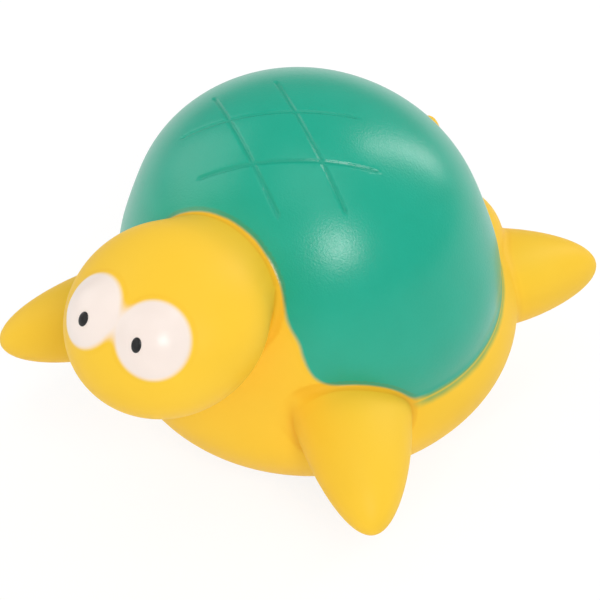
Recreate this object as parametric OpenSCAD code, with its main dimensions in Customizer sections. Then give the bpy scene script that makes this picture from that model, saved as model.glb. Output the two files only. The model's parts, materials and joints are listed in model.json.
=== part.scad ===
// Squeaky bath turtle: a hollow cast vinyl skin with a reed squeaker pressed into its base.
// It faces -Y, its left side is +X, and it stands on z = 0 with the origin under the shell's middle.

/* [Shell] */
// Width and height of the shell's round
shell_d = 72; // [68:1:76]
// Length of the shell, front to back
shell_l = 65; // [62:1:70]
// Height of the crown above the table
shell_top = 70; // [68:0.5:73]
// Distance from the shell's front back to the chest line
chest_set = 5.4; // [4.4:0.2:7]
// Width of a line scored in the shell
score_w = 0.9; // [0.6:0.1:1.5]
// Depth of a scored line
score_depth = 0.5; // [0.3:0.1:0.9]
// Length of a scored line
score_l = 31; // [24:1:36]
// Distance between two scored lines that run side by side
score_pitch = 10.8; // [8:0.2:13]
// Distance by which a line is shifted along its length, away from the nearer corner of the diamond
score_shift = 2; // [0:0.2:3]
// Turn of the scored lines from the side-to-side direction
score_turn = 32; // [24:1:40]
// Lean of the scored diamond from the crown towards the head
score_lean = 15; // [8:1:18]

/* [Skin] */
// Thickness of the cast skin
skin = 2; // [1.4:0.1:2.6]
// Gap along the seam between the shell and the body
seam = 0.3; // [0.2:0.05:0.4]

/* [Belly] */
// Distance by which the bowl's edge stands out past the shell
belly_out = 0.8; // [0.4:0.1:2]
// Height of the whole round that the bowl is cut from
belly_h = 45; // [43:0.5:47]
// Depth of the round that the flat base cuts away
belly_cut = 1.3; // [1.1:0.1:2]
// Distance of the bowl's middle behind the shell's middle
belly_back = 1.6; // [0:0.1:2]
// Lift of the bowl's rear rim, as an angle
belly_tilt = 3; // [0:0.5:5]

/* [Head] */
// Width and length of the head
head_d = 36.3; // [33:0.1:40]
// Depth of the head from its crown to its chin
head_h = 27; // [25:0.2:30]
// Distance of the head's middle ahead of the shell's front
head_ahead = 7.6; // [6:0.2:9]
// Height of the head's middle above the shell's widest level
head_rise = 14; // [12:0.2:16]
// Angle by which the nose dips
head_dip = 24; // [16:1:30]
// Width and depth of the neck
neck_d = 36.4; // [34:0.2:40]
// Length of the neck
neck_l = 34.4; // [32:0.2:38]
// Distance of the neck's middle behind the shell's front
neck_back = 15.5; // [14:0.5:17]
// Height of the neck's middle above the shell's widest level
neck_rise = 8; // [6:0.2:9]

/* [Eyes] */
// Width of the white of an eye
eye_w = 12.3; // [12:0.1:13.6]
// Height by which an eye bulges from the head
eye_bulge = 2.5; // [1.8:0.1:3.2]
// Angle of an eye from the nose line, seen from above the head
eye_bearing = 33; // [30:1:34]
// Angle of an eye up the head
eye_lift = 56; // [50:1:62]
// Width of the pupil
pupil_w = 1.9; // [1.4:0.1:2.6]
// Height of the pupil
pupil_h = 2.7; // [2:0.1:3.4]
// Amount by which the pupil stands proud of the eye
pupil_proud = 0.3; // [0.2:0.05:0.5]
// Angle of the pupil from the nose line, seen from above the head
pupil_bearing = 15; // [0:1:30]
// Angle of the pupil up the eye
pupil_lift = 56; // [45:1:65]

/* [Front flippers] */
// Length of a front paddle, with the end inside the body
front_l = 36.3; // [33:0.1:40]
// Width of a front paddle
front_w = 17.9; // [16:0.1:20]
// Thickness of a front paddle
front_t = 12.3; // [10:0.1:14]
// Distance of the paddle's middle outside the belly's edge
front_out = 2.6; // [1:0.2:4]
// Bearing of the paddle's middle, from the side towards the front
front_bearing = 40; // [36:1:44]
// Height of the paddle's middle above the belly's widest level
front_rise = 4; // [2:0.2:6]
// Turn of the paddle from the side towards the front
front_turn = 48; // [40:1:55]
// Droop of the paddle's tip
front_droop = 18; // [12:1:24]
// Roll of the paddle about its own length
front_roll = -11; // [-20:1:0]

/* [Rear flippers] */
// Length of a rear paddle, with the end inside the body
rear_l = 35.6; // [32:0.1:40]
// Width of a rear paddle
rear_w = 20.6; // [18:0.1:23]
// Thickness of a rear paddle
rear_t = 15.8; // [13:0.1:17]
// Distance of the paddle's middle outside the belly's edge
rear_out = 0.4; // [-1:0.2:2]
// Bearing of the paddle's middle, from the side towards the rear
rear_bearing = 55; // [50:1:60]
// Height of the paddle's middle above the belly's widest level
rear_rise = 0; // [-2:0.2:2]
// Turn of the paddle from the side towards the rear
rear_turn = 50; // [42:1:58]
// Droop of the paddle's tip
rear_droop = 7; // [0:1:15]
// Roll of the paddle about its own length
rear_roll = -15; // [-25:1:-5]

/* [Tail] */
// Length of the tail, with the end inside the body
tail_l = 19; // [16:0.5:22]
// Width of the tail
tail_w = 8; // [6:0.5:10]
// Distance of the tail's middle outside the shell's rear
tail_out = 1.2; // [0.6:0.2:2.4]
// Height of the tail's middle above the shell's widest level
tail_rise = 1.4; // [0:0.2:3]
// Angle by which the tail's tip turns up
tail_lift = 66; // [55:1:75]

/* [Squeaker] */
// Diameter of the barrel that is pressed through the base
plug_d = 14; // [13:0.2:15]
// Height of the barrel above the inside of the base
plug_h = 11; // [10:0.5:14]
// Diameter of the flange under the base
flange_d = 18; // [17.4:0.2:19]
// Thickness of the flange
flange_t = 1.6; // [1.2:0.1:2]
// Amount by which the barb stands out from the barrel
barb_out = 0.9; // [0.6:0.1:1.2]
// Height of the barb
barb_h = 2.4; // [1.8:0.1:3]
// Wall of the barrel
plug_wall = 2; // [1.6:0.1:2.4]
// Thickness of the vinyl that the squeaker grips
floor_t = 2.2; // [1.6:0.1:3]
// Height of the reed block
block_h = 9; // [8:0.2:9.6]
// Width of the air channel under the reed
channel_w = 2.6; // [2:0.1:3]
// Depth of the air channel
channel_depth = 2.4; // [2:0.1:3]
// Thickness of the block above the channel's closed end
channel_end = 2; // [1.4:0.1:2.6]
// Diameter of the vent in the barrel's floor
vent_d = 2.2; // [1.6:0.1:2.4]
// Thickness of the reed
reed_t = 0.25; // [0.2:0.05:0.4]
// Width of the reed
reed_w = 4.4; // [3.8:0.1:5]
// Gap between the reed's free tip and the barrel's floor
reed_gap = 0.8; // [0.5:0.1:1.2]
// Height of the clamp that holds the reed's root
clamp_h = 3; // [2.4:0.1:3.6]
// Diameter of the air hole in the clamp
air_d = 2; // [1.4:0.1:2.4]

/* [Hidden] */
// Gap between the flange and the table
foot_clear = 0.6;
// Gap round the flange in its recess
recess_clear = 0.4;
// Gap of the barrel in the base's hole, and of the block and clamp in the barrel's bore
press_clear = 0.04;
// Length by which a cut runs past the face it opens
overrun = 1;
// Room round the whole toy that half-space cuts fill
room = 2 * (shell_d + belly_out);
// Turn about its length of the round that a paddle is flattened from
round_turn = 45;
// Facets of a full circle
$fn = 90;

belly_d = shell_d + 2 * belly_out;
shell_level = shell_top - shell_d / 2;
chest_y = shell_l / 2 - chest_set;
belly_level = belly_h / 2 - belly_cut;
head_place = [0, -shell_l / 2 - head_ahead, shell_level + head_rise];
neck_place = [0, -shell_l / 2 + neck_back, shell_level + neck_rise];
tail_place = [0, shell_l / 2 + tail_out, shell_level + tail_rise];
front_reach = belly_d / 2 + front_out;
rear_reach = belly_d / 2 + rear_out;
front_place = [
    front_reach * cos(front_bearing),
    -front_reach * sin(front_bearing),
    belly_level + front_rise
];
rear_place = [
    rear_reach * cos(rear_bearing),
    rear_reach * sin(rear_bearing),
    belly_level + rear_rise
];
// Ball that an eye's bulge is the cap of, set back along the head's normal under the eye
eye_r = (eye_w * eye_w / 4 + eye_bulge * eye_bulge) / (2 * eye_bulge);
eye_way = [cos(eye_lift) * sin(eye_bearing), -cos(eye_lift) * cos(eye_bearing), sin(eye_lift)];
eye_normal = [eye_way.x / head_d, eye_way.y / head_d, eye_way.z / head_h];
eye_place = [
    eye_way.x * head_d / 2,
    eye_way.y * head_d / 2,
    eye_way.z * head_h / 2
] - eye_normal / norm(eye_normal) * (eye_r - eye_bulge);

recess_d = flange_d + 2 * recess_clear;
recess_depth = flange_t + foot_clear;
floor_z = recess_depth + floor_t;
hole_d = plug_d + 2 * press_clear;
bore_d = plug_d - 2 * plug_wall;
bore_z = foot_clear + flange_t;
plug_top = floor_z + plug_h;
insert_d = bore_d - 2 * press_clear;
flat_y = channel_depth / 2;
block_top = bore_z + block_h;
clamp_y = flat_y + reed_t;
air_y = (clamp_y + insert_d / 2) / 2;

// Right half of an oval, ready to be revolved about its upright axis
module half_oval(r, h) {
    intersection() {
        scale([r, h]) circle(1);
        translate([0, -h]) square([r, 2 * h]);
    }
}

// Round form with diameter d across and length h along Z, swollen by grow
module spheroid(d, h, grow) {
    rotate_extrude() half_oval(d / 2 + grow, h / 2 + grow);
}

// Flattened paddle along X with three sizes, swollen by grow
module paddle(size, grow) {
    scale([size.x / 2 + grow, size.y / 2 + grow, size.z / 2 + grow])
        rotate([0, 90, 0]) rotate([0, 0, round_turn]) sphere(1);
}

// Half-space below the level z
module below(z) {
    translate([-room / 2, -room / 2, z - room]) cube(room);
}

// Half-space ahead of the distance y in front of the shell's middle
module ahead_of(y) {
    translate([-room / 2, -y - room, -room / 4]) cube(room);
}

// Half-space on one side of the mid-plane: side is 1 for the left, -1 for the right
module beside(side) {
    translate([side * room / 2, 0, room / 4]) cube(room, center = true);
}

module dome_form(grow = 0) {
    translate([0, 0, shell_level]) rotate([90, 0, 0]) spheroid(shell_d, shell_l, grow);
}

module belly_form(grow = 0) {
    translate([0, belly_back, belly_level]) rotate([belly_tilt, 0, 0]) spheroid(belly_d, belly_h, grow);
}

module head_form(grow = 0) {
    translate(head_place) rotate([head_dip, 0, 0]) spheroid(head_d, head_h, grow);
}

module neck_form(grow = 0) {
    translate(neck_place) rotate([90, 0, 0]) spheroid(neck_d, neck_l, grow);
}

module tail_form(grow = 0) {
    translate(tail_place) rotate([tail_lift - 90, 0, 0]) spheroid(tail_w, tail_l, grow);
}

module front_form(grow = 0) {
    translate(front_place)
        rotate([0, 0, -front_turn]) rotate([0, front_droop, 0]) rotate([front_roll, 0, 0])
        paddle([front_l, front_w, front_t], grow);
}

module rear_form(grow = 0) {
    translate(rear_place)
        rotate([0, 0, rear_turn]) rotate([0, rear_droop, 0]) rotate([rear_roll, 0, 0])
        paddle([rear_l, rear_w, rear_t], grow);
}

// All four paddles
module paddle_forms(grow = 0) {
    for (side = [0, 1]) mirror([side, 0, 0]) {
        front_form(grow);
        rear_form(grow);
    }
}

// The bowl and the chest above it, before they are hollowed
module trunk_form() {
    belly_form();
    intersection() {
        dome_form();
        ahead_of(chest_y);
    }
}

// The air space inside the skin, down to the inside of the base
module air_space() {
    difference() {
        union() {
            difference() {
                dome_form(-skin);
                below(belly_level);
            }
            belly_form(-skin);
            neck_form(-skin);
            head_form(-skin);
            paddle_forms(-skin);
        }
        below(floor_z);
    }
}

module body() {
    color("gold") difference() {
        trunk_form();
        air_space();
        below(0);
        translate([0, 0, -overrun]) cylinder(d = recess_d, h = recess_depth + overrun);
        cylinder(d = hole_d, h = floor_z + overrun);
    }
}

module head() {
    color("gold") difference() {
        union() {
            neck_form();
            head_form();
        }
        trunk_form();
        neck_form(-skin);
        head_form(-skin);
        dome_form(-skin);
    }
}

module left_front_flipper() {
    color("gold") difference() {
        front_form();
        front_form(-skin);
        trunk_form();
        dome_form(-skin);
    }
}

module left_rear_flipper() {
    color("gold") difference() {
        rear_form();
        rear_form(-skin);
        trunk_form();
        dome_form(-skin);
    }
}

module right_front_flipper() { mirror([1, 0, 0]) left_front_flipper(); }

module right_rear_flipper() { mirror([1, 0, 0]) left_rear_flipper(); }

module tail() {
    color("gold") difference() {
        tail_form();
        belly_form();
        dome_form(-skin);
    }
}

module shell() {
    color("mediumseagreen") difference() {
        dome_form();
        dome_form(-skin);
        ahead_of(chest_y - seam);
        below(belly_level);
        belly_form(seam);
        neck_form(seam);
        head_form(seam);
        tail_form(seam);
        paddle_forms(seam);
        scored_lines();
    }
}

// The diamond of four crossing lines, as deep as they are scored
module scored_lines() {
    intersection() {
        translate([0, 0, shell_level]) rotate([score_lean, 0, 0])
            for (side = [-1, 1], row = [-1, 1])
                rotate([0, 0, side * score_turn])
                    translate([
                        -side * row * score_shift - score_l / 2,
                        row * score_pitch / 2 - score_w / 2,
                        0
                    ])
                    cube([score_l, score_w, shell_d]);
        difference() {
            dome_form(overrun);
            dome_form(-score_depth);
        }
    }
}

// Moves its children from the head's middle to the eye on one side
module at_eye(side) {
    translate(head_place) rotate([head_dip, 0, 0])
        translate([side * eye_place.x, eye_place.y, eye_place.z]) children();
}

module eye(side) {
    color("seashell") difference() {
        intersection() {
            at_eye(side) rotate([0, 90, 0]) sphere(eye_r);
            beside(side);
        }
        head_form();
    }
}

module left_eye() { eye(1); }

module right_eye() { eye(-1); }

module pupil(side) {
    color("black") at_eye(side) intersection() {
        difference() {
            sphere(eye_r + pupil_proud);
            sphere(eye_r);
        }
        rotate([0, 0, side * pupil_bearing]) rotate([90 - pupil_lift, 0, 0])
            linear_extrude(2 * eye_r) scale([pupil_w, pupil_h]) circle(d = 1);
    }
}

module left_pupil() { pupil(1); }

module right_pupil() { pupil(-1); }

module squeaker_housing() {
    color("whitesmoke") difference() {
        union() {
            translate([0, 0, foot_clear]) cylinder(d = flange_d, h = flange_t);
            translate([0, 0, foot_clear]) cylinder(d = plug_d, h = plug_top - foot_clear);
            translate([0, 0, floor_z]) cylinder(d1 = plug_d + 2 * barb_out, d2 = plug_d, h = barb_h);
        }
        translate([0, 0, bore_z]) cylinder(d = bore_d, h = plug_top);
        cylinder(d = vent_d, h = plug_top);
    }
}

// Part of the barrel's bore between two upright planes
module bore_slice(y_low, y_high, z_low, height) {
    intersection() {
        translate([0, 0, z_low]) cylinder(d = insert_d, h = height);
        translate([-insert_d / 2, y_low, z_low]) cube([insert_d, y_high - y_low, height]);
    }
}

module reed_block() {
    color("lightgray") difference() {
        bore_slice(-insert_d / 2, flat_y, bore_z, block_h);
        translate([-channel_w / 2, flat_y - channel_depth, bore_z - overrun])
            cube([channel_w, channel_depth + overrun, block_h - channel_end + overrun]);
    }
}

module reed_clamp() {
    color("silver") difference() {
        bore_slice(clamp_y, insert_d / 2, block_top - clamp_h, clamp_h);
        translate([0, air_y, bore_z]) cylinder(d = air_d, h = plug_top);
    }
}

module reed() {
    color("goldenrod")
        translate([-reed_w / 2, flat_y, bore_z + reed_gap]) cube([reed_w, reed_t, block_h - reed_gap]);
}

body();
head();
left_front_flipper();
right_front_flipper();
left_rear_flipper();
right_rear_flipper();
tail();
shell();
left_eye();
right_eye();
left_pupil();
right_pupil();
squeaker_housing();
reed_block();
reed_clamp();
reed();
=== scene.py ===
# %% [markdown]
# # A squeaky bath turtle
# The real toy is one hollow casting of soft vinyl that is sprayed green, white and black, with a squeaker
# pressed into its base. This lesson models that skin as it is: rounded forms that flow into each other,
# cut apart only where the paint changes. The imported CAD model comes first, because every new piece has to
# lie where its solid does.

# %% The frame
import json
import math

import bmesh
import bpy
import numpy as np
from mathutils import Matrix, Vector

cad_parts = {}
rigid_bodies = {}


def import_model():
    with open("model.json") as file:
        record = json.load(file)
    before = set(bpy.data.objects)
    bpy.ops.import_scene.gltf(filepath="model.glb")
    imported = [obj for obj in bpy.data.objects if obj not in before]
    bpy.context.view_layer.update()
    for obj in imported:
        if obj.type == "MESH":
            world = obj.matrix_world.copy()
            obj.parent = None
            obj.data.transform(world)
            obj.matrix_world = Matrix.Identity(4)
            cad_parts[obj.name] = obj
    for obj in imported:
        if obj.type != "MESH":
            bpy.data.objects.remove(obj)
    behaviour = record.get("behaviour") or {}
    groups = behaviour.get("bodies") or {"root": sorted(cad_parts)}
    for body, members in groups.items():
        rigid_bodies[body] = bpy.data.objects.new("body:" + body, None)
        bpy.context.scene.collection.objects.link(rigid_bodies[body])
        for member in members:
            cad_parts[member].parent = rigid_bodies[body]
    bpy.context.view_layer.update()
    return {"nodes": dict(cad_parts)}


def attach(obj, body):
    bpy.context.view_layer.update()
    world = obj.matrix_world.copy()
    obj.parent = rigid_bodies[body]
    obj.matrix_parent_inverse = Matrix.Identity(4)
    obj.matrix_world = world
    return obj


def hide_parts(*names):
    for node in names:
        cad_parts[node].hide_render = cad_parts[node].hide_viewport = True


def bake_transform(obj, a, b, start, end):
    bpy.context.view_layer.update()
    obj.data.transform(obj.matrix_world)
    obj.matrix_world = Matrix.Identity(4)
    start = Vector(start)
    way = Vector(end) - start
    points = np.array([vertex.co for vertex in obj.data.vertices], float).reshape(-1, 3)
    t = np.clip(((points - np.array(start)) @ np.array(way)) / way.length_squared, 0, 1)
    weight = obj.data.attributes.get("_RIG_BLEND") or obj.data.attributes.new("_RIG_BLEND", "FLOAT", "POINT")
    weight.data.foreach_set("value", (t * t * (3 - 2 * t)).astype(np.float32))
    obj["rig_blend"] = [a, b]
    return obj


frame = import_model()
MM = 0.001
print("CAD nodes:", sorted(frame["nodes"]))

# %% [markdown]
# ## The rounded forms
# A clay master for such a toy is built up from balls: a dome, a bowl, a neck, a head, hips, paddles and a
# tail tip. Each is an oval ball with a middle, three half-sizes, a turn and, for the paddles, a taper.
# One small class keeps these, places a ball for the mesh, and tells how far points lie outside it. A
# smooth minimum lets two forms flow into each other with a fillet, and the dome uses it for the bulge of
# the chest under its front. The sizes follow the CAD model, in millimetres. The hips, the chest, the
# tapered paddles, the neck and the dome's flatter rear were then fitted to the photograph, and stand off
# the solids by up to 3 mm.

# %% A rounded form
TINY = 1e-9


class Form:
    def __init__(self, middle, half, turn=None, taper=0):
        self.middle = Vector(middle) * MM
        self.half = Vector(half) * MM
        self.turn = turn or Matrix.Identity(3)
        self.taper = taper

    def mirrored(self):
        flip = Matrix.Diagonal((-1, 1, 1))
        return Form(flip @ self.middle / MM, self.half / MM, flip @ self.turn @ flip, -self.taper)

    def place(self):
        return Matrix.Translation(self.middle) @ self.turn.to_4x4() @ Matrix.Diagonal((*self.half, 1))

    def local(self, points):
        local = (points - np.array(self.middle)) @ np.array(self.turn)
        local[:, 1] /= 1 - self.taper * np.clip(local[:, 0] / self.half.x, -1, 1)
        return local

    def outside(self, points):
        local, half = self.local(points), np.array(self.half)
        reach = np.linalg.norm(local / half, axis=1)
        slope = np.linalg.norm(local / half**2, axis=1)
        return (reach - 1) * reach / np.maximum(slope, TINY)

    def facing(self, points):
        way = self.local(points) / np.array(self.half) ** 2
        return way / np.linalg.norm(way, axis=1, keepdims=True) @ np.array(self.turn).T


# %% Turns, places and fillets
def turned(*steps):
    turn = Matrix.Identity(3)
    for axis, degrees in steps:
        turn = turn @ Matrix.Rotation(math.radians(degrees), 3, axis)
    return turn


def around(reach, bearing, height):
    angle = math.radians(bearing)
    return (reach * math.cos(angle), reach * math.sin(angle), height)


def flow(first, second, width):
    mix = np.maximum(width - np.abs(first - second), 0) / width
    return np.minimum(first, second) - mix * mix * width / 4


# %% The dome with its chest
class Dome(Form):
    chest = Form((0, -14.1, 25.3), (27, 19.7, 18.2))
    chest_fillet = 4 * MM
    foot = 21.2 * MM
    flat_depth, flat_height, flat_spread = 0.8 * MM, 45 * MM, 8 * MM
    flat_from, flat_fade = -32 * MM, 20 * MM

    def outside(self, points):
        band = np.exp(-(((points[:, 2] - self.flat_height) / self.flat_spread) ** 2))
        behind = np.clip((points[:, 1] - self.flat_from) / self.flat_fade, 0, 1)
        flattened = super().outside(points) + self.flat_depth * band * behind
        rounded = flow(flattened, self.chest.outside(points), self.chest_fillet)
        return np.maximum(rounded, self.foot - points[:, 2])


# %% The forms
dome = Dome((0, 0, 34), (36, 32.5, 35.99))
belly = Form((0, 2, 21.2), (36.8, 36.8, 22.5), turned(("X", 3)))
neck = Form((0, -17, 42), (16.2, 15.6, 16.1))
head = Form((0, -40.1, 48), (18.15, 18.15, 13.5), turned(("X", 24)))
tail = Form((0, 33.7, 35.4), (4, 4, 9.5), turned(("X", -24)))
hip_left = Form((11.9, 26.2, 27), (10.7, 10.7, 10.7))
front_turn = turned(("Z", -44.5), ("Y", 14.7), ("X", -13.9))
front_left = Form(around(35, -40.35, 25.3), (22.76, 10.6, 7.7), front_turn, taper=0.28)
rear_turn = turned(("Z", 50.7), ("Y", 4), ("X", -6))
rear_left = Form(around(37, 54.3, 20.9), (18.7, 11.35, 8), rear_turn, taper=0.5)
hip_right, front_right, rear_right = (form.mirrored() for form in (hip_left, front_left, rear_left))
print("forms: dome, belly, neck, head, tail, hips and four flippers")

# %% [markdown]
# ## The eyes' balls
# The eyes are two bulges on the head that meet between the brows. Each bulge is the cap of a ball that
# sits mostly inside the head, so its radius follows from the cap's width and height.

# %% The eye balls
eye_width, eye_bulge = 11.4, 2.4
eye_radius = (eye_width**2 / 4 + eye_bulge**2) / (2 * eye_bulge)
eye_bearing, eye_lift = math.radians(40), math.radians(55)
eye_way = Vector((
    math.cos(eye_lift) * math.sin(eye_bearing),
    -math.cos(eye_lift) * math.cos(eye_bearing),
    math.sin(eye_lift),
))
half_head = head.half / MM
on_head = Vector(a * b for a, b in zip(eye_way, half_head))
eye_out = Vector(a / b for a, b in zip(eye_way, half_head)).normalized()
eye_middle = head.middle / MM + head.turn @ (on_head - eye_out * (eye_radius - eye_bulge))
eye_left = Form(eye_middle, [eye_radius] * 3)
eye_right = eye_left.mirrored()
print("eye ball radius", round(eye_radius, 2), "mm")

# %% [markdown]
# ## How the forms flow together
# Soft vinyl has no sharp inner corners. The smooth minimum joins two forms with a fillet whose width, in
# millimetres, is chosen pair by pair: wide where the head meets the chest, narrow where the shell meets
# the bowl. The front paddles have a small web on the side towards the head. A point settles onto the
# joined skin by a few steps along the slope of its distance.

# %% The blended skin
neck_fillet, hip_fillet, paddle_fillet, tail_fillet = 1.6, 2.5, 1.2, 1.2
front_web, web_half = 1, 4
chin_fillet, nape_fillet = 3, 8
chin_height, nape_height = 42, 52
brow_fillet, eye_fillet = 1.6, 0.9
shell_fillet, chest_rim_fillet = 0.9, 1.8
chest_rim_back, chest_rim_front = -25, -29


def ramp(values, low, high):
    return np.clip((values / MM - low) / (high - low), 0, 1)


def yellow_skin(points):
    joined = flow(belly.outside(points), neck.outside(points), neck_fillet * MM)
    for hip in (hip_left, hip_right):
        joined = flow(joined, hip.outside(points), hip_fillet * MM)
    for paddle, web in ((front_left, front_web), (front_right, front_web), (rear_left, 0), (rear_right, 0)):
        toward_head = ramp(paddle.local(points)[:, 1], web_half, -web_half)
        joined = flow(joined, paddle.outside(points), (paddle_fillet + web * toward_head) * MM)
    high = ramp(points[:, 2], chin_height, nape_height)
    head_fillet = chin_fillet + (nape_fillet - chin_fillet) * high
    joined = flow(joined, head.outside(points), head_fillet * MM)
    return flow(joined, tail.outside(points), tail_fillet * MM)


def eye_skin(points):
    return flow(eye_left.outside(points), eye_right.outside(points), brow_fillet * MM)


def whole_skin(points):
    at_chest = ramp(points[:, 1], chest_rim_back, chest_rim_front)
    rim_fillet = shell_fillet + (chest_rim_fillet - shell_fillet) * at_chest
    joined = flow(yellow_skin(points), dome.outside(points), rim_fillet * MM)
    return flow(joined, eye_skin(points), eye_fillet * MM)


# %% Settling onto the skin
def settled(points, rounds=4, step=0.02 * MM, least_slope=1e-6):
    for _ in range(rounds):
        sides = [(whole_skin(points + step * way), whole_skin(points - step * way)) for way in np.eye(3)]
        slope = np.stack([(ahead - behind) / (2 * step) for ahead, behind in sides], axis=1)
        stride = whole_skin(points) / np.maximum((slope**2).sum(axis=1), least_slope)
        points = points - stride[:, None] * slope
    return points


print("fillets from", shell_fillet, "to", nape_fillet, "mm")

# %% [markdown]
# ## One closed casting
# The balls are dropped into one mesh, a voxel remesh welds them into a single closed skin of even quads,
# and each point then settles onto the blended surface. That keeps the remesh's clean layout without its
# stair steps.

# %% Mesh helpers
def new_object(name, bm):
    mesh = bpy.data.meshes.new(name)
    bm.to_mesh(mesh)
    bm.free()
    for face in mesh.polygons:
        face.use_smooth = True
    obj = bpy.data.objects.new(name, mesh)
    bpy.context.scene.collection.objects.link(obj)
    return obj


def bake_modifiers(obj):
    bpy.context.view_layer.update()
    mesh = bpy.data.meshes.new_from_object(obj.evaluated_get(bpy.context.evaluated_depsgraph_get()))
    obj.modifiers.clear()
    obj.data = mesh
    return obj


def points_of(bm):
    return np.array([vert.co for vert in bm.verts])


def move_to(bm, points):
    for vert, point in zip(bm.verts, points):
        vert.co = point


# %% Weld and settle the casting
yellow_forms = (belly, neck, head, tail, hip_left, hip_right, front_left, front_right, rear_left, rear_right)
solid_forms = (dome,) + yellow_forms
eye_forms = (eye_left, eye_right)
voxel = 0.8 * MM
clay = bmesh.new()
for form in solid_forms + (dome.chest,) + eye_forms:
    bmesh.ops.create_uvsphere(clay, u_segments=96, v_segments=48, radius=1, matrix=form.place())
casting = new_object("casting", clay)
weld = casting.modifiers.new("weld", "REMESH")
weld.mode = "VOXEL"
weld.voxel_size = voxel
bake_modifiers(casting)
skin = bmesh.new()
skin.from_mesh(casting.data)
bpy.data.objects.remove(casting)
move_to(skin, settled(points_of(skin)))
bmesh.ops.smooth_vert(skin, verts=skin.verts, factor=0.5, use_axis_x=True, use_axis_y=True, use_axis_z=True)
move_to(skin, settled(points_of(skin)))
print("casting:", len(skin.faces), "faces")

# %% [markdown]
# ## Finer faces along the creases
# The creases are narrow and everything that catches the eye happens there: the paint ends, the vinyl
# darkens and the light turns. Only the faces near a crease are halved, so the broad rounds stay light. A
# crease runs where the two nearest forms are equally far, so it is found from how much those two
# distances differ.

# %% Finer creases
crease_width, least_bend = 1.6 * MM, 0.05


def in_crease(points, forms):
    outside = np.stack([form.outside(points) for form in forms])
    facing = np.stack([form.facing(points) for form in forms])
    first, second = np.argsort(outside, axis=0)[:2]
    at = np.arange(len(points))
    bend = np.linalg.norm(facing[first, at] - facing[second, at], axis=1)
    away = (outside[second, at] - outside[first, at]) / np.maximum(bend, least_bend)
    return away < crease_width


skin.verts.ensure_lookup_table()
creased = in_crease(points_of(skin), solid_forms + eye_forms)
near_crease = [edge for edge in skin.edges if all(creased[vert.index] for vert in edge.verts)]
bmesh.ops.subdivide_edges(skin, edges=near_crease, cuts=1, use_grid_fill=True)
move_to(skin, settled(points_of(skin)))
skin.verts.index_update()
print("with finer creases:", len(skin.faces), "faces")

# %% [markdown]
# ## Where the paint changes
# The shell's paint ends in the crease against the bowl, the neck and the flippers, and across the chest
# along a hand-held mask, so that line wavers a little and swings back below the neck. The white of the
# eyes ends where their bulges rise from the head. A value that is negative inside the paint and zero on
# its edge lets the mesh be cut exactly there: edges that cross zero are split at the crossing, and faces
# are split between the new points. Where a crossing is close to a corner, that corner moves onto the line
# instead.

# %% The paint edges
mask_line, mask_fillet = -27.1, 3 * MM
mask_swing, mask_swing_below = 0.018, 41
# Each waver has its axis, its size in millimetres, its length and its start.
wavers = ((0, 0.08, 2.3 * MM, 0), (2, 0.06, 1.1 * MM, 1))


def shell_edge(points):
    crease = dome.outside(points) - yellow_skin(points)
    waver = sum(size * np.sin(points[:, axis] / length + start) for axis, size, length, start in wavers)
    low = np.maximum(mask_swing_below - points[:, 2] / MM, 0)
    chest = (mask_line + waver + mask_swing * low**2) * MM - points[:, 1]
    return -flow(-crease, -chest, mask_fillet)


def eye_edge(points):
    return eye_skin(points) - yellow_skin(points)


# %% Cut the skin along the paint edges
corner_share = 0.25


def cut_where_zero(bm, name, values):
    layer = bm.verts.layers.float.new(name)
    for vert, value in zip(bm.verts, values):
        vert[layer] = value
    for edge in list(bm.edges):
        a, b = edge.verts
        if a[layer] * b[layer] < 0:
            crossing = a[layer] / (a[layer] - b[layer])
            if min(crossing, 1 - crossing) < corner_share:
                near = a if crossing < 0.5 else b
                near.co = a.co.lerp(b.co, crossing)
                near[layer] = 0
    for edge in list(bm.edges):
        a, b = edge.verts
        if a[layer] * b[layer] < 0:
            crossing = a[layer] / (a[layer] - b[layer])
            _, fresh = bmesh.utils.edge_split(edge, a, crossing)
            fresh[layer] = 0
    for face in list(bm.faces):
        values = [vert[layer] for vert in face.verts]
        if min(values) < 0 < max(values):
            on_line = [vert for vert in face.verts if vert[layer] == 0]
            pairs = [(a, b) for a in on_line for b in on_line if a is not b]
            for a, b in pairs:
                if not any(edge.other_vert(a) is b for edge in a.link_edges):
                    bmesh.utils.face_split(face, a, b)
                    break
    bm.verts.index_update()


cut_where_zero(skin, "rim", shell_edge(points_of(skin)))
cut_where_zero(skin, "eye", eye_edge(points_of(skin)))
print("after the cuts:", len(skin.faces), "faces")

# %% [markdown]
# ## What each point keeps for its finish
# Spray paint is soft at its edge and drifts onto the bowl's ledge below the shell, and shade is painted into
# the creases. So each point keeps its distance from both paint edges, in millimetres, how hollow the skin is
# round it, which sets that painted shade, and whether the nearest edge is the ledge. The materials read
# these as attributes, which follow the surface and bake well.

# %% Values for the finish
def keep(bm, name, values):
    layer = bm.verts.layers.float.get(name) or bm.verts.layers.float.new(name)
    for vert, value in zip(bm.verts, values):
        vert[layer] = value


# %% Ledge and hollows
ledge_fade = 3 * MM
chest_back, chest_fade = -24 * MM, 4 * MM
hollow_reach, full_hollow = 0.7, 0.35


def on_ledge(points):
    others = np.min([form.outside(points) for form in (neck, head, front_left, front_right)], axis=0)
    apart = np.clip((others - belly.outside(points)) / ledge_fade, 0, 1)
    behind_chest = np.clip((points[:, 1] - chest_back) / chest_fade, 0, 1)
    return apart * behind_chest


# How hollow the skin is round each point; the finishes paint shade into the creases from this.
def hollowness(points):
    sides = [side * hollow_reach * MM * way for way in np.eye(3) for side in (-1, 1)]
    around_it = [whole_skin(points + shift) for shift in sides]
    bend = (sum(around_it) - len(sides) * whole_skin(points)) / MM / hollow_reach**2
    return np.clip(-bend / full_hollow, 0, 1)


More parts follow.
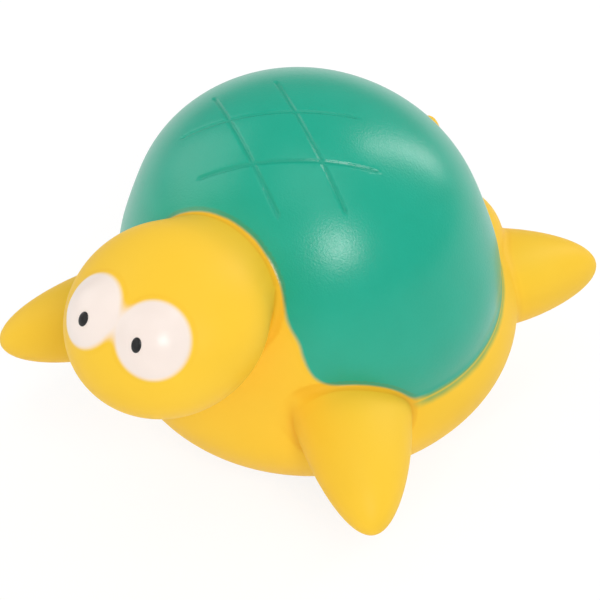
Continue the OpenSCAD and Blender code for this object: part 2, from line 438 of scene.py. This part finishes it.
places = points_of(skin)
keep(skin, "rim", shell_edge(places) / MM)
keep(skin, "eye", eye_edge(places) / MM)
keep(skin, "crease", hollowness(places))
keep(skin, "ledge", on_ledge(places))
print("kept on each point:", skin.verts.layers.float.keys())

# %% [markdown]
# ## The yellow body
# The body is the casting without the painted faces. Its base is cut flat and turned in round the
# squeaker, as the mould does it: a rounded lip, a recess for the squeaker's flange and the hole that its
# barrel is pressed through. The Solidify modifier gives the skin the wall of a hollow casting.

# %% Walls and cuts
wall_corner = math.radians(60)


def only(bm, name, inside):
    layer = bm.verts.layers.float[name]
    return [face for face in bm.faces if (sum(vert[layer] for vert in face.verts) < 0) == inside]


def draw_in(bm, edges, shift):
    made = bmesh.ops.extrude_edge_only(bm, edges=edges)["geom"]
    for vert in (item for item in made if isinstance(item, bmesh.types.BMVert)):
        vert.co = shift(vert)
    return [item for item in made if isinstance(item, bmesh.types.BMEdge) and item.is_boundary]


def ring(radius, height):
    def shift(vert):
        flat = Vector((vert.co.x, vert.co.y, 0)).normalized() * radius * MM
        return flat + Vector((0, 0, height * MM))

    return shift


def hollow_wall(obj, thickness):
    wall = obj.modifiers.new("wall", "SOLIDIFY")
    wall.thickness = thickness * MM
    wall.offset = -1
    bake_modifiers(obj).data.set_sharp_from_angle(angle=wall_corner)
    return obj


def halve(bm, normal):
    everything = bm.verts[:] + bm.edges[:] + bm.faces[:]
    bmesh.ops.bisect_plane(bm, geom=everything, plane_co=(0, 0, 0), plane_no=normal, clear_inner=True)


# %% Body
body_wall = 1.6
recess_radius, recess_depth, hole_radius = 9.4, 2.2, 7.04
lip_width, lip_height = 0.4, 0.3
base_slack = 1e-6


def on_base(edge):
    return edge.is_boundary and all(abs(vert.co.z) < base_slack for vert in edge.verts)


body = skin.copy()
bmesh.ops.delete(body, geom=only(body, "rim", True), context="FACES")
bmesh.ops.delete(body, geom=only(body, "eye", True), context="FACES")
halve(body, (0, 0, 1))
loop = [edge for edge in body.edges if on_base(edge)]
for radius, height in (
    (recess_radius + lip_width, 0),
    (recess_radius, lip_height),
    (recess_radius, recess_depth),
    (hole_radius, recess_depth),
):
    loop = draw_in(body, loop, ring(radius, height))
bmesh.ops.recalc_face_normals(body, faces=body.faces)
body_piece = hollow_wall(new_object("yellow_body", body), body_wall)
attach(body_piece, "toy_body")
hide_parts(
    "body", "head", "tail",
    "left_front_flipper", "right_front_flipper", "left_rear_flipper", "right_rear_flipper",
)
print("body:", len(body_piece.data.polygons), "faces")

# %% [markdown]
# ## The green shell
# The shell is the other half of the cut. The four scored lines are real grooves: planes cut the mesh
# along both sides and the middle of each line, and the points between them are pressed in. The wall then
# gets its thickness.

# %% The scored lines
score_half, score_depth, score_length = 0.38 * MM, 0.3 * MM, 31 * MM
score_lean, score_angle = 15, 32
score_apart, score_slide = 5.4, 2

lean = turned(("X", score_lean))
scores = []
for side in (-1, 1):
    for row in (-1, 1):
        angle = math.radians(side * score_angle)
        along = Vector((math.cos(angle), math.sin(angle), 0))
        across = Vector((-math.sin(angle), math.cos(angle), 0))
        offset = across * row * score_apart - along * side * row * score_slide
        scores.append((dome.middle + lean @ offset * MM, lean @ along, lean @ across))


def from_score(score, points):
    start, along, across = score
    offset = np.asarray(points) - np.array(start)
    beyond = np.maximum(np.abs(offset @ np.array(along)) - score_length / 2, 0)
    return np.where(offset[:, 2] > 0, np.hypot(offset @ np.array(across), beyond), 1)


# %% Shell with its grooves
shell_wall = 2
cut_shares = (-1.6, -1, -0.5, 0, 0.5, 1, 1.6)
cut_reach = 2.5 * MM
groove_share, groove_power, groove_least = 0.9, 4, 0.01

shell = skin.copy()
bmesh.ops.delete(shell, geom=only(shell, "rim", False), context="FACES")
for score in scores:
    start, _, across = score
    for cut_share in cut_shares:
        away = from_score(score, [face.calc_center_median() for face in shell.faces])
        faces = [face for face, reach in zip(shell.faces, away) if reach < cut_reach]
        edges = list({edge for face in faces for edge in face.edges})
        verts = list({vert for face in faces for vert in face.verts})
        plane = start + across * cut_share * score_half
        bmesh.ops.bisect_plane(shell, geom=verts + edges + faces, plane_co=plane, plane_no=across)
shell.normal_update()
nearest = np.min([from_score(score, points_of(shell)) for score in scores], axis=0)
groove = np.exp(-((nearest / score_half / groove_share) ** groove_power))
# The groove's depth is kept as well, for the painted shade in the grooves.
keep(shell, "score", groove)
for vert, depth in zip(shell.verts, groove):
    if depth > groove_least:
        vert.co -= vert.normal * score_depth * depth
shell_piece = hollow_wall(new_object("green_shell", shell), shell_wall)
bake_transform(shell_piece, "toy_body", "soft_shell", start=(0, 0, 0.046), end=(0, 0.0075, 0.0665))
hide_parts("shell")
print("shell:", len(shell_piece.data.polygons), "faces")

# %% [markdown]
# ## Eyes and pupils
# The whites are the skin's own bulges, parted at the mid-plane where the two eyes run together. The
# pupils are small oval beads of gloss paint that stand a little proud.

# %% Eye whites and pupil beads
white_wall = 1.2
pupil_half = (0.95, 1.35, 0.34)
pupil_toe, pupil_drop, pupil_sink = 9, 35.5, 0.04

eyes = skin.copy()
bmesh.ops.delete(eyes, geom=only(eyes, "eye", False), context="FACES")


def eye_white(name, side, node):
    bm = eyes.copy()
    halve(bm, (side, 0, 0))
    piece = hollow_wall(new_object(name, bm), white_wall)
    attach(piece, "toy_body")
    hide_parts(node)
    return piece


def pupil_bead(name, ball, side, node):
    bm = bmesh.new()
    oval = Matrix.Diagonal((*pupil_half, 1))
    bmesh.ops.create_uvsphere(bm, u_segments=48, v_segments=32, radius=1, matrix=oval)
    turn = head.turn @ turned(("Z", side * pupil_toe), ("X", pupil_drop))
    lifted = ball.middle + turn @ Vector((0, 0, eye_radius - pupil_sink)) * MM
    place = Matrix.Translation(lifted) @ turn.to_4x4() @ Matrix.Scale(MM, 4)
    bmesh.ops.transform(bm, matrix=place, verts=bm.verts)
    piece = new_object(name, bm)
    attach(piece, "toy_body")
    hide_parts(node)
    return piece


whites = [eye_white("left_white", 1, "left_eye"), eye_white("right_white", -1, "right_eye")]
beads = [
    pupil_bead("left_pupil_bead", eye_left, 1, "left_pupil"),
    pupil_bead("right_pupil_bead", eye_right, -1, "right_pupil"),
]
print("eyes:", [piece.name for piece in whites + beads])

# %% [markdown]
# ## Shader maths in plain Python
# Patterns on the vinyl are sums and products of a few textures. A small class wraps a node's socket, so
# that an expression such as `1 - mask * 0.5` adds its Math nodes by itself. Colours are written as the
# eye reads them from a screen, in steps of 255, and turned into linear light.

# %% Maths on sockets
class Field:
    def __init__(self, finish, socket):
        self.finish, self.socket = finish, socket

    def maths(self, operation, *values):
        return self.finish.node("ShaderNodeMath", {"operation": operation}, dict(enumerate(values)))

    def __add__(self, other):
        return self.maths("ADD", self, other)

    def __radd__(self, other):
        return self.maths("ADD", other, self)

    def __sub__(self, other):
        return self.maths("SUBTRACT", self, other)

    def __rsub__(self, other):
        return self.maths("SUBTRACT", other, self)

    def __mul__(self, other):
        return self.maths("MULTIPLY", self, other)


# %% A finish and its nodes
class Finish:
    def __init__(self, name):
        self.material = bpy.data.materials.new(name)
        self.material.use_nodes = True
        self.tree = self.material.node_tree
        self.shader = self.tree.nodes["Principled BSDF"]

    def node(self, kind, settings=None, sockets=None, out=0):
        made = self.tree.nodes.new(kind)
        for key, value in (settings or {}).items():
            setattr(made, key, value)
        for key, value in (sockets or {}).items():
            self.feed(made.inputs[key], value)
        return Field(self, made.outputs[out])

    def feed(self, socket, value):
        if isinstance(value, Field):
            self.tree.links.new(value.socket, socket)
        else:
            socket.default_value = value

    def set(self, **sockets):
        for key, value in sockets.items():
            self.feed(self.shader.inputs[key.replace("_", " ")], value)

    def place(self):
        return self.node("ShaderNodeTexCoord", out="Object")

    def kept(self, name):
        return self.node("ShaderNodeAttribute", {"attribute_name": name}, out="Fac")

    def grain(self, size, detail):
        sockets = {"Vector": self.place(), "Scale": 1 / (size * MM), "Detail": detail}
        return self.node("ShaderNodeTexNoise", sockets=sockets)

    def step(self, value, low, high):
        ease = {"interpolation_type": "SMOOTHSTEP"}
        return self.node("ShaderNodeMapRange", ease, {"Value": value, "From Min": low, "From Max": high})

    def mix(self, factor, first, second):
        return self.node("ShaderNodeMix", {"data_type": "RGBA"}, {0: factor, 6: first, 7: second}, out=2)

    def bump(self, height, distance, strength):
        sockets = {"Height": height, "Distance": distance * MM, "Strength": strength}
        return self.node("ShaderNodeBump", sockets=sockets)


# %% Colours
def linear(step):
    value = step / 255
    return value / 12.92 if value < 0.04045 else ((value + 0.055) / 1.055) ** 2.4


def colour(red, green, blue):
    return (linear(red), linear(green), linear(blue), 1)


print("white in linear light:", colour(255, 255, 255))

# %% [markdown]
# ## The finishes
# Vinyl and paint are one surface to the eye, so the yellow, the green and the white share one recipe for
# their colour. It lays the coats over each other as the spray booth did: yellow vinyl, the shell's green
# with a soft edge, a drift of it on the ledge below with a thin missed line between, and the white of the
# eyes. Over these it paints shade: a deeper orange in the vinyl's creases, an olive in the shell's creases,
# which is partly painted shade and partly yellow overspray, and a darker green in the scored grooves. Each
# coat then adds its own gloss and grain.

# %% The coats' tones and edges
vinyl_tones = colour(252, 202, 50), colour(253, 206, 60)
# Painted shade: the deeper orange that the vinyl is painted in its creases.
crease_shade_vinyl = colour(240, 172, 14)
green_tones = colour(8, 166, 136), colour(16, 173, 144)
# Painted shade: the darker green of the scored grooves, and the olive of the shell's creases, which is
# partly painted shade and partly yellow overspray. The drift green is the real overspray on the ledge.
score_shade_green, olive_shade_and_overspray, drift_green = colour(6, 134, 108), colour(74, 146, 88), colour(84, 170, 104)
white_tones = colour(249, 232, 222), colour(250, 237, 228)

drift_size, cloud_size, coat_detail = 5, 14, 3
# How far the painted crease shade reaches and how strong it is; the ledge is spared part of it.
crease_shade_range, crease_shade_strength, shade_spared_on_ledge = (0.1, 1.0), 0.5, 0.7
# How strongly shade is painted into the scored grooves.
score_shade_strength = 0.12
# How far the olive reaches into the shell's creases and how strong it is: partly painted shade, partly
# yellow overspray.
olive_shade_and_overspray_range, olive_shade_and_overspray_strength = (0.25, 1.0), 0.6
cover_edge, cover_waver, cover_ledge = (-0.2, 0.45), 0.3, 0.2
missed_from, missed_to, missed_strength = (0.15, 0.35), (0.35, 0.6), 0.6
drift_edge, drift_waver, drift_strength = (0.6, 1.5), 0.4, 0.8
white_edge = (-0.3, 0.45)
print("coats: yellow vinyl, green with olive edges and drift, white")


# %% The coats
def coats(finish):
    drift = finish.grain(drift_size, coat_detail)
    cloud = finish.grain(cloud_size, coat_detail)
    rim, eye, crease, ledge = (finish.kept(name) for name in ("rim", "eye", "crease", "ledge"))
    vinyl = finish.mix(cloud, *vinyl_tones)
    # Painted shade: the vinyl is painted a deeper orange in its creases, less on the ledge.
    crease_shade = finish.step(crease, *crease_shade_range) * (1 - ledge * shade_spared_on_ledge) * crease_shade_strength
    vinyl = finish.mix(crease_shade, vinyl, crease_shade_vinyl)
    green = finish.mix(drift, *green_tones)
    # Painted shade: the scored grooves are painted a darker green.
    green = finish.mix(finish.kept("score") * score_shade_strength, green, score_shade_green)
    # Painted shade and yellow overspray: the green turns olive in its creases, but not on the ledge.
    olive = finish.step(crease, *olive_shade_and_overspray_range) * (1 - ledge) * olive_shade_and_overspray_strength
    green = finish.mix(olive, green, olive_shade_and_overspray)
    cover = finish.step((drift - 0.5) * cover_waver - rim + ledge * cover_ledge, *cover_edge)
    missed = finish.step(rim, *missed_from) * (1 - finish.step(rim, *missed_to)) * missed_strength
    drifted = 1 - finish.step(rim + drift * drift_waver, *drift_edge)
    coat = finish.mix(ledge * (1 - missed) * drifted * drift_strength, vinyl, drift_green)
    coat = finish.mix(cover, coat, green)
    white = finish.mix(cloud, *white_tones)
    return finish.mix(finish.step(0 - eye, *white_edge), coat, white)


# %% Yellow vinyl
def yellow_vinyl(name):
    vinyl = Finish(name)
    peel = vinyl.grain(0.45, 2)
    vinyl.set(Base_Color=coats(vinyl), Roughness=0.46 + peel * 0.1)
    vinyl.set(Normal=vinyl.bump(peel, 0.02, 0.3), Specular_IOR_Level=0.2)
    return vinyl


# %% Green paint
def green_paint(name):
    paint = Finish(name)
    peel = paint.grain(0.38, 3)
    paint.set(Base_Color=coats(paint), Roughness=0.25 + peel * 0.1)
    paint.set(Normal=paint.bump(peel, 0.04, 0.9), Specular_IOR_Level=0.5)
    return paint


# %% White and black paint
def white_paint(name):
    paint = Finish(name)
    peel = paint.grain(0.4, 2)
    paint.set(Base_Color=coats(paint), Roughness=0.28 + peel * 0.1)
    paint.set(Normal=paint.bump(peel, 0.02, 0.3), Specular_IOR_Level=0.5)
    return paint


def black_paint(name):
    paint = Finish(name)
    cloud = paint.grain(0.5, 2)
    paint.set(Base_Color=paint.mix(cloud, colour(12, 11, 12), colour(22, 20, 22)))
    paint.set(Roughness=0.26 + cloud * 0.06)
    return paint


# %% Moulded plastic of the squeaker
def moulded_plastic(name, tone):
    plastic = Finish(name)
    cloud = plastic.grain(3, 3)
    peel = plastic.grain(0.3, 2)
    shade = [step - 8 for step in tone]
    plastic.set(Base_Color=plastic.mix(cloud, colour(*tone), colour(*shade)))
    plastic.set(Roughness=0.4 + peel * 0.15)
    plastic.set(Normal=plastic.bump(peel, 0.01, 0.3))
    return plastic


# %% Dress the pieces
def dress(obj, finish):
    obj.data.materials.clear()
    obj.data.materials.append(finish.material)


dress(body_piece, yellow_vinyl("yellow_vinyl"))
dress(shell_piece, green_paint("green_paint"))
for piece in whites:
    dress(piece, white_paint("white_paint_" + piece.name))
for piece in beads:
    dress(piece, black_paint("black_paint_" + piece.name))
for node, tone in (
    ("squeaker_housing", (232, 230, 224)),
    ("reed_block", (214, 214, 210)),
    ("reed_clamp", (222, 220, 214)),
    ("reed", (205, 160, 80)),
):
    dress(frame["nodes"][node], moulded_plastic(node + "_plastic", tone))
print("materials:", len(bpy.data.materials))

# %% [markdown]
# ## Stage, light and camera
# The toy stands on a pale floor in soft studio light: a key box over the camera's right shoulder, a long
# strip behind, broad weak panels at the left, in front and above, and a bright even room. The floor glows
# a little for rays that come from the camera, from a gloss or through something clear, which makes the
# white background, and keeps its shadow. The camera stands where the photographer's did, with a long
# lens.

# %% Stage
floor_tone, floor_roughness = (0.92, 0.92, 0.92, 1), 0.9
floor_glow, glow_share = 1.06, 0.8
room_level = 0.42

ground = bmesh.new()
bmesh.ops.create_grid(ground, x_segments=8, y_segments=8, size=3)
floor = new_object("floor", ground)
pale = Finish("pale_floor")
pale.set(Base_Color=floor_tone, Roughness=floor_roughness)
tree = pale.tree
seen = pale.node("ShaderNodeLightPath", out="Is Camera Ray")
for kind in ("Glossy", "Transmission"):
    seen = seen + pale.node("ShaderNodeLightPath", out="Is " + kind + " Ray")
glow = tree.nodes.new("ShaderNodeEmission")
glow.inputs["Strength"].default_value = floor_glow
blend = tree.nodes.new("ShaderNodeMixShader")
pale.feed(blend.inputs[0], seen * glow_share)
tree.links.new(pale.shader.outputs[0], blend.inputs[1])
tree.links.new(glow.outputs[0], blend.inputs[2])
tree.links.new(blend.outputs[0], tree.nodes["Material Output"].inputs["Surface"])
dress(floor, pale)

room = bpy.data.worlds.new("studio")
room.use_nodes = True
bpy.context.scene.world = room
sky = room.node_tree.nodes["Background"].inputs
sky["Color"].default_value = (1, 1, 1, 1)
sky["Strength"].default_value = room_level
print("stage:", floor.name, "and", room.name)

# %% Softboxes
lamp_aim = Vector((0, 0, 0.04))


def toward(bearing, height, away):
    turn, rise = math.radians(bearing), math.radians(height)
    way = Vector((math.cos(rise) * math.sin(turn), -math.cos(rise) * math.cos(turn), math.sin(rise)))
    return lamp_aim + away * way


def softbox(name, place, size, power):
    lamp = bpy.data.lights.new(name, "AREA")
    lamp.shape = "RECTANGLE"
    lamp.size, lamp.size_y = size
    lamp.energy = power
    obj = bpy.data.objects.new(name, lamp)
    bpy.context.scene.collection.objects.link(obj)
    obj.location = place
    obj.rotation_euler = (lamp_aim - place).to_track_quat("-Z", "Y").to_euler()


softbox("key_box", toward(50, 39, 1), (0.3, 0.3), 3.7)
softbox("back_strip", toward(166, 34, 0.9), (0.11, 0.75), 2.6)
softbox("left_panel", toward(-75, 28, 1.2), (0.9, 0.9), 3.2)
softbox("front_panel", toward(-15, 25, 1.3), (0.9, 0.7), 1.2)
softbox("top_panel", toward(20, 80, 1.2), (0.8, 0.8), 1.5)
print("lamps:", sorted(lamp.name for lamp in bpy.data.lights))

# %% Camera
camera_bearing, camera_height, camera_roll = (math.radians(angle) for angle in (37.938, 39.718, 1.298))
camera_away = 0.62399
camera_aim = Vector((0, -0.00107, 0.03))
photo_width, pixels_per_mm = 600, 5.5
photo_shift = (-0.00975, -0.0308)
flat_part = math.cos(camera_height)
out = Vector((
    math.sin(camera_bearing) * flat_part, -math.cos(camera_bearing) * flat_part, math.sin(camera_height)
))
level_right = Vector((math.cos(camera_bearing), math.sin(camera_bearing), 0))
level_up = out.cross(level_right)
right = math.cos(camera_roll) * level_right - math.sin(camera_roll) * level_up
up = math.sin(camera_roll) * level_right + math.cos(camera_roll) * level_up
lens = bpy.data.cameras.new("camera")
lens.sensor_width = 36
lens.lens = pixels_per_mm * camera_away / MM / photo_width * lens.sensor_width
lens.shift_x, lens.shift_y = photo_shift
lens.clip_start, lens.clip_end = 0.05, 20
camera = bpy.data.objects.new("camera", lens)
bpy.context.scene.collection.objects.link(camera)
stand = camera_aim + out * camera_away
camera.matrix_world = Matrix.Translation(stand) @ Matrix((right, up, out)).transposed().to_4x4()
bpy.context.scene.camera = camera
bpy.context.scene.view_settings.view_transform = "Standard"
print("camera lens:", round(lens.lens, 1), "mm")
